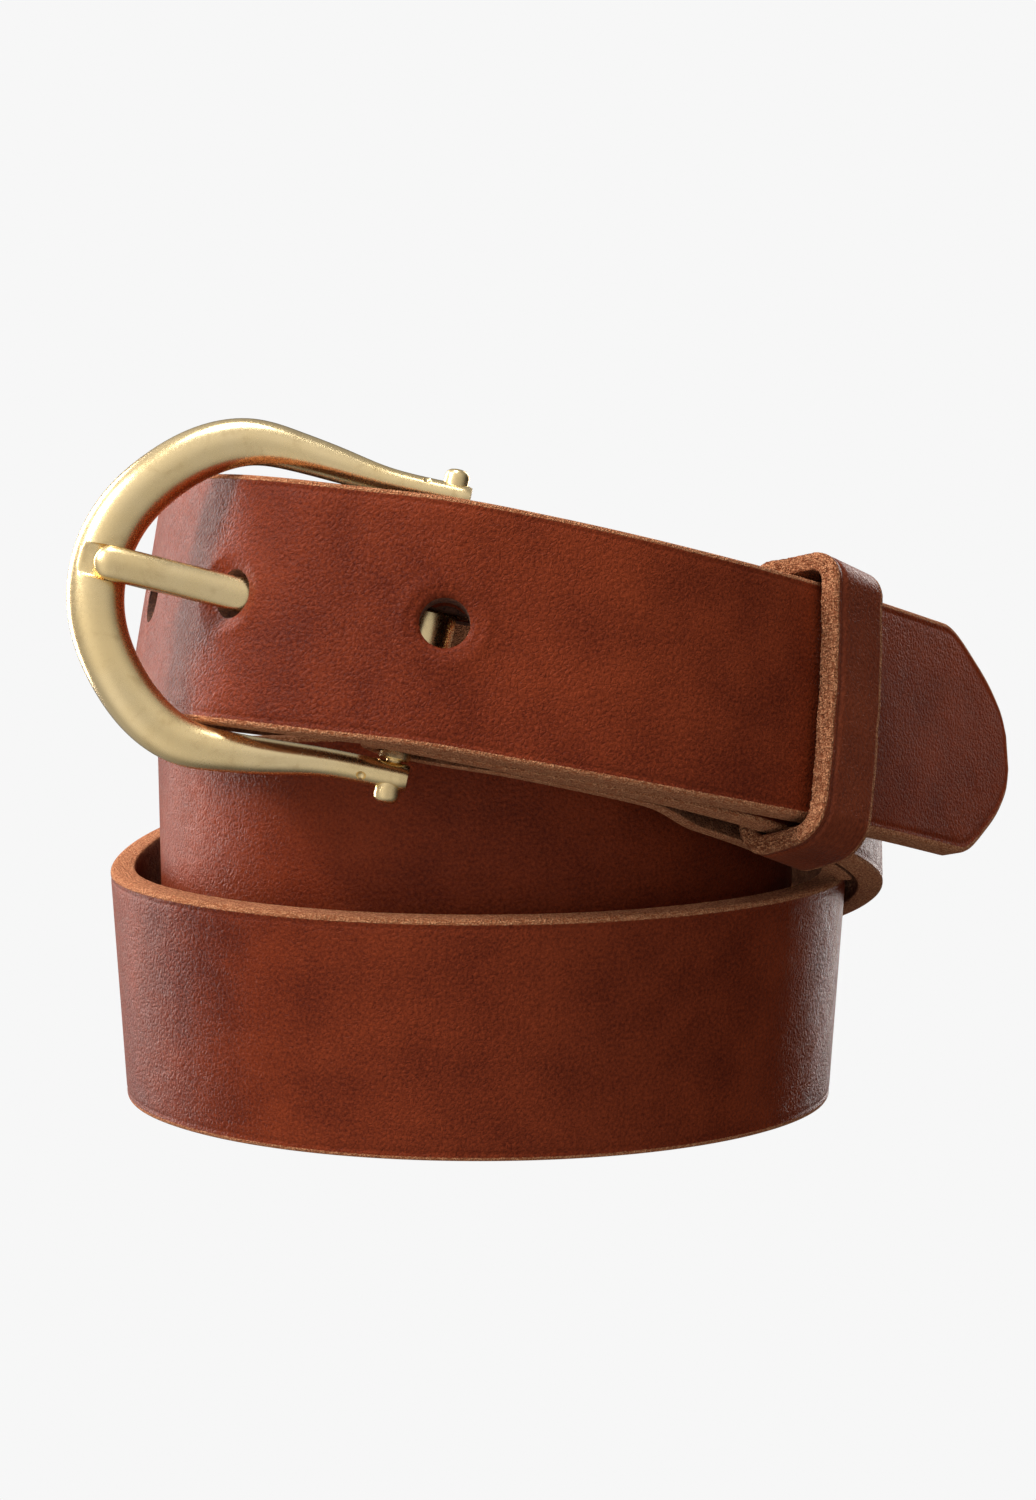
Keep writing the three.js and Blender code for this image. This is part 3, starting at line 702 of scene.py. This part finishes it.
def keeper_path(step=10):
    corner = KEEPER_CORNER
    tail_n, tail_w = tail_in_keeper()
    half = KEEPER_THICK / 2
    back = -(HALF + 0.85 + half)
    front = tail_n + HALF + 0.9 + half
    low_w = -STRAP_WIDTH / 2 - 0.5 - half + min(0, tail_w)
    high_w = STRAP_WIDTH / 2 + 0.9 + half + max(0, tail_w)
    mid = (low_w + high_w) / 2
    line = [(back, mid + 0.2)]
    for n0, w0, start in ((back, high_w, 180), (front, high_w, 90), (front, low_w, 0), (back, low_w, -90)):
        cn = n0 + (corner if n0 == back else -corner)
        cw = w0 + (-corner if w0 == high_w else corner)
        for k in range(step + 1):
            a = math.radians(start - k * 90 / step)
            line.append((cn + corner * math.cos(a), cw + corner * math.sin(a)))
    line.append((back, mid - 0.2))
    line = np.array(line)
    s = lengths(line)
    even = np.linspace(0, s[-1], 400)
    line = np.stack([np.interp(even, s, line[:, 0]), np.interp(even, s, line[:, 1])], -1)
    return line, mid, back, front


def make_keeper():
    line, mid, back, front = keeper_path()
    d = np.gradient(line, axis=0)
    d /= np.linalg.norm(d, axis=1)[:, None]
    normal = np.stack([-d[:, 1], d[:, 0]], -1)
    centre = line.mean(0)
    if ((line - centre) * normal).sum() < 0:
        normal = -normal
    run = lengths(line)
    half_t, half_w = KEEPER_THICK / 2, KEEPER_WIDTH / 2
    edge = np.array([0, 0.1, 0.25, 0.45, 0.7, 0.95, 1.2, 1.4, 1.6, 1.8, 2.1])
    flat = half_w - 2.6
    x_out = np.concatenate([-half_w + edge, np.linspace(-flat, flat, 9), half_w - edge[::-1]])
    dist = half_w - np.abs(x_out)
    corner = np.sqrt(np.clip(KEEPER_ROUND**2 - (KEEPER_ROUND - dist) ** 2, 0, None))
    drop = np.where(dist < KEEPER_ROUND, KEEPER_ROUND - corner, 0)
    drop = drop + np.where(x_out < 0, 0.45, 0.0) * np.exp(-(((dist - 1.6) / 0.24) ** 2))
    y_out = half_t - drop
    side_y = np.array([0.35, 0.1, -0.15, -0.4, -0.65, -0.85, -half_t + 0.25])
    x_in = np.linspace(half_w - 0.3, -half_w + 0.3, 9)
    ring_x = np.concatenate([x_out, np.full(7, half_w), x_in, np.full(7, -half_w)])
    ring_y = np.concatenate([y_out, side_y, np.full(9, -half_t), side_y[::-1]])
    fade = np.clip((dist - np.where(x_out > 0, 0.8, 0.45)) / 0.4, 0, 1)
    edge_value = np.concatenate([1 - fade, np.ones(7), np.zeros(9), np.ones(7)])
    flesh_value = np.concatenate([np.zeros(len(x_out)), np.zeros(7), np.ones(9), np.zeros(7)])
    rings = []
    rng = np.random.default_rng(7)
    for i in range(len(line)):
        wob = 0.10 * math.sin(run[i] * 0.35) + 0.06 * math.sin(run[i] * 0.83 + 1)
        q = line[i][:, None] + normal[i][:, None] * ring_y[None]
        crumb = rng.normal(0, 0.085, len(ring_x)) * np.where(ring_x < 0, 1.0, 0.45)
        x = ring_x + np.where(np.abs(ring_x) > half_w - 0.5, wob + crumb, wob)
        # The front of the loop has pulled askew: its foot lags towards the buckle.
        high = q[1] - mid
        askew = smooth((q[0] - back) / (front - back) - 0.15)
        x = x + askew * np.where(high < 0, 0.085 * high - 0.0030 * high**2, 0.02 * high)
        rings.append(KP + KT * x[:, None] + KN * q[0][:, None] + KW * q[1][:, None])
    m = len(ring_x)
    uvs = side_uvs(run, [around_ring(ring_x, ring_y)] * len(rings))
    uvs += [(q * 0.2, q * 0.1) for q in range(2 * m)]
    obj = add_object("keeper", np.vstack(rings), tube(rings), np.array(uvs) * MM, [KEEPER_LEATHER], sharp=60)
    point_layer(obj, "edge", np.tile(edge_value, len(rings)))
    point_layer(obj, "flesh", np.tile(flesh_value, len(rings)))
    return outward_faces(obj), mid, back


keeper, keeper_mid, keeper_back = make_keeper()
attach(keeper, "keeper_body")
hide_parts("keeper_loop")

STAPLE_WIRE = 0.34  # radius


def make_staple(name, x):
    """A round-wire staple across the keeper's join: leg, bend, crown, bend, leg."""
    out = keeper_back - KEEPER_THICK / 2 - 0.55
    line = [(keeper_back + 0.5, -2.6)]
    for c, start in ((-2.2, 180), (2.2, 270)):
        for k in range(7):
            a = math.radians(start + 15 * k)
            line.append((out + 0.4 + 0.4 * math.sin(a), c + 0.4 * math.cos(a)))
    line.append((keeper_back + 0.5, 2.6))
    line = np.array(line)
    d = np.gradient(line, axis=0)
    d /= np.linalg.norm(d, axis=1)[:, None]
    rings = []
    for q, way in zip(line, d):
        ring = []
        for b in 2 * np.pi * np.arange(14) / 14:
            side, across = STAPLE_WIRE * math.sin(b), STAPLE_WIRE * math.cos(b)
            n0, w0 = q[0] - across * way[1], keeper_mid + q[1] + across * way[0]
            ring.append(KP + KT * (x + side) + KN * n0 + KW * w0)
        rings.append(ring)
    return outward_faces(add_object(name, np.vstack(rings), tube(rings), materials=[STEEL]))


for i, x in enumerate((-2.6, 2.6)):
    staple = make_staple(f"staple_{i + 1}", x)
    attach(staple, "keeper_body")
    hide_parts(f"keeper_staple_{i + 1}")

# ---- buckle ----------------------------------------------------------------------------------------
tilt = math.radians(BUCKLE_TILT)
U = -START_T * math.cos(tilt) + START_N * math.sin(tilt)
OUT = START_N * math.cos(tilt) + START_T * math.sin(tilt)


def in_buckle(u, v, w):
    return BAR + U * u + OUT * v + START_W * w


def tongue_rings(grow=0.0, first=TONGUE[0][0], past=0.0, count=90, sides=28):
    """Sections of the shank; grow and past make the larger one that cuts its seat in the frame."""
    at = spline([c[0] for c in TONGUE], [[c[1], c[2]] for c in TONGUE])
    last = TONGUE[-1][0]
    if past:
        places = np.linspace(first, last + past, 30)
    else:
        nose = NOSE * np.sin(np.linspace(0, np.pi / 2, 14)[1:])
        places = np.concatenate([np.linspace(first, last - NOSE, count), last - NOSE + nose])
    rings = []
    for u in places:
        v, thick = at(min(u, last))[0]
        near = (last - u) / NOSE
        rounding = 1.0 if past or near > 1 else math.sqrt(max(0.012, 1 - (1 - near) ** 2))
        a, b = TONGUE_WIDTH / 2 * rounding + grow, thick / 2 * rounding + grow
        ring = []
        for k in range(sides):
            q = 2 * math.pi * k / sides
            c, s = math.cos(q), math.sin(q)
            # D section: crowned above with soft flats, nearly flat below.
            e = 0.88 if s > 0 else 0.5
            x = math.copysign(abs(c) ** 0.92, c) if s > 0 else math.copysign(abs(c) ** 0.55, c)
            y = math.copysign(abs(s) ** e, s)
            ring.append(in_buckle(u, v + y * b, x * a + FRAME_SHIFT))
        rings.append(ring)
    return rings


def make_frame():
    side = [(u, -w, a, b) for u, w, a, b in reversed(FRAME)][1:]
    whole = np.array(FRAME + side, float)
    # The arms swell a little further out than the CAD's, between the bar and the arch.
    swell = 0.42 * np.exp(-(((whole[:, 0] - 17) / 6.5) ** 2))
    whole[:, 1] += np.sign(whole[:, 1]) * swell * 1.06
    whole[:, 2] += swell
    knots = lengths(whole[:, :2])
    at = spline(knots, whole)
    places = np.linspace(0, knots[-1], 190)
    rows = at(places)
    d = np.gradient(rows[:, :2], axis=0)
    d /= np.linalg.norm(d, axis=1)[:, None]
    rings = []
    for i, ((u, w, a, b), (du, dw)) in enumerate(zip(rows, d)):
        from_end = min(places[i], knots[-1] - places[i])
        trim = 1.0 if from_end > 0.35 else 0.90 + 0.10 * math.sqrt(from_end / 0.35)
        ring = []
        for k in range(40):
            q = 2 * math.pi * k / 40
            c, s = math.cos(q), math.sin(q)
            x = math.copysign(abs(c) ** 0.92, c) * a * trim
            y = math.copysign(abs(s) ** 0.92, s) * b * trim
            ring.append(in_buckle(u + dw * x, y, w - du * x + FRAME_SHIFT))
        rings.append(ring)
    obj = add_object("buckle_frame_brass", np.vstack(rings), tube(rings), materials=[BRASS])
    outward_faces(obj)
    seat = tongue_rings(0.12, 30, 2.0)
    seat = outward_faces(add_object("tool", np.vstack(seat), tube(seat), materials=[BRASS]))
    bore = [(TENON_R + 0.15, -30), (TENON_R + 0.15, 30)]
    bore = lathe("tool", bore, BAR, START_W, U, [BRASS], 32)
    pit = [(0.02, -0.7), (0.35, -0.6), (0.6, -0.3), (0.7, 0), (0.6, 0.3), (0.35, 0.6), (0.02, 0.7)]
    pits = [lathe("tool", pit, in_buckle(3.6, 1.9, w), OUT, U, [BRASS], 20) for w in (19.2, -20.0)]
    cut(obj, seat, bore, *pits)
    obj.data.set_sharp_from_angle(angle=math.radians(45))
    return obj


frame_obj = make_frame()
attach(frame_obj, "buckle_body")
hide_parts("buckle_frame")


def make_heel_bar():
    """The bar between the arms, its tenons in them and a round nub outside each."""
    arm = 18.9
    inner = FRAME[0][1] - FRAME[0][2] - 0.15
    nub = [(1.62, 0), (1.62, 1.6), (1.62, 2.0), (1.55, 2.35), (1.38, 2.65), (1.12, 2.85), (0.75, 2.96),
           (0.3, 3.0), (0.02, 3.0)]
    half = [(BAR_R, inner - 0.15), (BAR_R - 0.15, inner), (TENON_R, inner), (TENON_R, arm)]
    half += [(r, arm + y) for r, y in nub]
    profile = [(r, -y) for r, y in reversed(half)] + half
    return lathe("heel_bar_brass", profile, BAR + START_W * FRAME_SHIFT, START_W, U, [BRASS], 40)


heel = make_heel_bar()
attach(heel, "buckle_body")
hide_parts("heel_bar")


def make_tongue():
    centre = BAR + START_W * FRAME_SHIFT
    rim = [(EYE_OUTER, 2.55), (EYE_OUTER - 0.25, 2.8), (0.02, 2.8)]
    solid = [(r, -y) for r, y in reversed(rim)] + rim
    obj = lathe("tongue_brass", solid, centre, START_W, U, [BRASS], 48)
    shank = tongue_rings()
    shank = outward_faces(add_object("tool", np.vstack(shank), tube(shank), materials=[BRASS]))
    join_solids(obj, shank)
    cut(obj, lathe("tool", [(BAR_R + 0.3, -4), (BAR_R + 0.3, 4)], centre, START_W, U, [BRASS], 48))
    obj.data.set_sharp_from_angle(angle=math.radians(40))
    return obj


tongue = make_tongue()
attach(tongue, "tongue_body")
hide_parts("tongue")

# ---- screws ----------------------------------------------------------------------------------------
def make_post(name, s):
    """Post of a two-part screw: a domed head on the turned-back end, and a barrel."""
    p, t, w, n = line_at(s)
    head = -turned_depth(s) - 0.75
    dome = [(0.02, head - 1.15), (1.5, head - 1.1), (3.0, head - 0.9), (4.0, head - 0.55),
            (4.45, head - 0.2), (4.5, head), (2.4, head), (2.4, -0.3), (1.7, -0.3), (1.7, head + 0.2),
            (0.02, head + 0.2)]
    return lathe(name, dome, p, n, t, [SCREW_BRASS])


def make_screw(name, s):
    """Its screw, with a slotted flat head sunk in the grain."""
    p, t, w, n = line_at(s)
    head = -turned_depth(s) - 0.75
    top = HALF - 0.1
    flat = [(0.02, top), (3.3, top - 0.03), (3.85, top - 0.18), (4.0, top - 0.4), (4.0, top - 1.0),
            (1.4, top - 1.0), (1.4, head + 0.9), (1.1, head + 0.6), (0.02, head + 0.6)]
    screw = lathe(name, flat, p, n, t, [SCREW_BRASS])
    corners = [(-3.2, -0.45), (3.2, -0.45), (3.2, 0.45), (-3.2, 0.45)]
    rings = [np.array([p + n * y + t * a + w * b for a, b in corners]) for y in (top - 0.5, top + 1)]
    slit = add_object("tool", np.vstack(rings), tube(rings), materials=[SCREW_BRASS])
    cut(screw, outward_faces(slit))
    return screw


for i, s in enumerate(SCREWS_AT):
    post = make_post(f"screw_post_{i + 1}_brass", s)
    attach(post, "strap_body")
    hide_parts(f"screw_post_{i + 1}")
    screw = make_screw(f"screw_{i + 1}_brass", s)
    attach(screw, "strap_body")
    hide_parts(f"screw_{i + 1}")

# ---- studio ----------------------------------------------------------------------------------------
CAM_BACK, CAM_SIDE, CAM_HIGH, CAM_PITCH = 550.0, 5.0, 107.5, 6.2
camera.location = Vector((CAM_SIDE + SHIFT[0], -CAM_BACK + SHIFT[1], CAM_HIGH)) * MM
camera.rotation_euler = (math.radians(90 - CAM_PITCH), 0, 0)
cam_data.sensor_fit = "VERTICAL"
cam_data.sensor_height = 36
cam_data.lens = 95.16
cam_data.clip_start = 0.01


def sweep_floor():
    """Floor and backdrop in one curved sheet, in metres."""
    back, up, curve, reach = 1.6, 2.2, 0.5, 12.0
    profile = [(-reach, 0.0), (back - curve, 0.0)]
    for degrees in range(5, 91, 5):
        a = math.radians(degrees)
        profile.append((back - curve + curve * math.sin(a), curve - curve * math.cos(a)))
    profile.append((back, up))
    verts = [(x, y, z - 0.00002) for x in (-reach, reach) for y, z in profile]
    m = len(profile)
    faces = [(j, j + 1, m + j + 1, m + j) for j in range(m - 1)]
    k = Nodes("studio_paper")
    k.set(Base_Color=rgb(0.0, 0.0, 0.0), Roughness=1.0, Specular_IOR_Level=0.0,
          Emission_Color=rgb(1, 1, 1), Emission_Strength=0.93)
    obj = add_object("studio_floor", verts, faces, materials=[k.material], ready=True)
    obj.visible_glossy = False
    obj.visible_diffuse = False


sweep_floor()
world = bpy.data.worlds.new("studio")
bpy.context.scene.world = world
world.use_nodes = True


def studio_light(tree):
    """Soft light by direction: bright in front and at the left, dim at the right and behind."""
    coords = tree.nodes.new("ShaderNodeTexCoord")
    split = tree.nodes.new("ShaderNodeSeparateXYZ")
    tree.links.new(coords.outputs["Generated"], split.inputs[0])
    total = None
    for axis, low, high, amount in (("Y", 0.1, -0.95, 0.46), ("X", 0.15, -0.8, 0.38), ("Z", 0.15, 0.8, 0.30)):
        ramp = tree.nodes.new("ShaderNodeMapRange")
        ramp.interpolation_type = "SMOOTHSTEP"
        # The range runs from low to high, whichever is the larger.
        flip = high < low
        ramp.inputs["From Min"].default_value = high if flip else low
        ramp.inputs["From Max"].default_value = low if flip else high
        ramp.inputs["To Min"].default_value = amount if flip else 0.0
        ramp.inputs["To Max"].default_value = 0.0 if flip else amount
        tree.links.new(split.outputs[axis], ramp.inputs["Value"])
        if total is None:
            total = ramp.outputs[0]
            continue
        add = tree.nodes.new("ShaderNodeMath")
        tree.links.new(total, add.inputs[0])
        tree.links.new(ramp.outputs[0], add.inputs[1])
        total = add.outputs[0]
    base = tree.nodes.new("ShaderNodeMath")
    tree.links.new(total, base.inputs[0])
    base.inputs[1].default_value = 0.055
    tree.links.new(base.outputs[0], tree.nodes["Background"].inputs["Strength"])
    tree.nodes["Background"].inputs["Color"].default_value = (1.0, 0.98, 0.95, 1)


studio_light(world.node_tree)


def softbox(name, place, target, size, watts, colour=(1, 1, 1)):
    light = bpy.data.lights.new(name, "AREA")
    light.shape = "RECTANGLE"
    light.size, light.size_y = size
    light.energy = watts
    light.color = colour
    obj = bpy.data.objects.new(name, light)
    bpy.context.scene.collection.objects.link(obj)
    obj.location = place
    obj.rotation_euler = (Vector(target) - Vector(place)).to_track_quat("-Z", "Y").to_euler()


softbox("key", (-0.88, -0.36, 0.80), (0, 0, 0.08), (0.30, 0.30), 11.0, (1.0, 0.955, 0.90))
softbox("left_wall", (-0.70, 0.52, 0.20), (0, 0, 0.06), (0.30, 0.9), 10.0, (1.0, 0.90, 0.86))
softbox("right_wall", (0.50, 0.85, 0.22), (0, 0, 0.06), (0.30, 0.9), 6.0, (1.0, 0.92, 0.88))
softbox("top", (-0.1, -0.12, 0.95), (0, 0, 0), (0.35, 0.3), 4.0)

bpy.context.scene.view_settings.view_transform = "Standard"
bpy.context.scene.view_settings.look = "None"
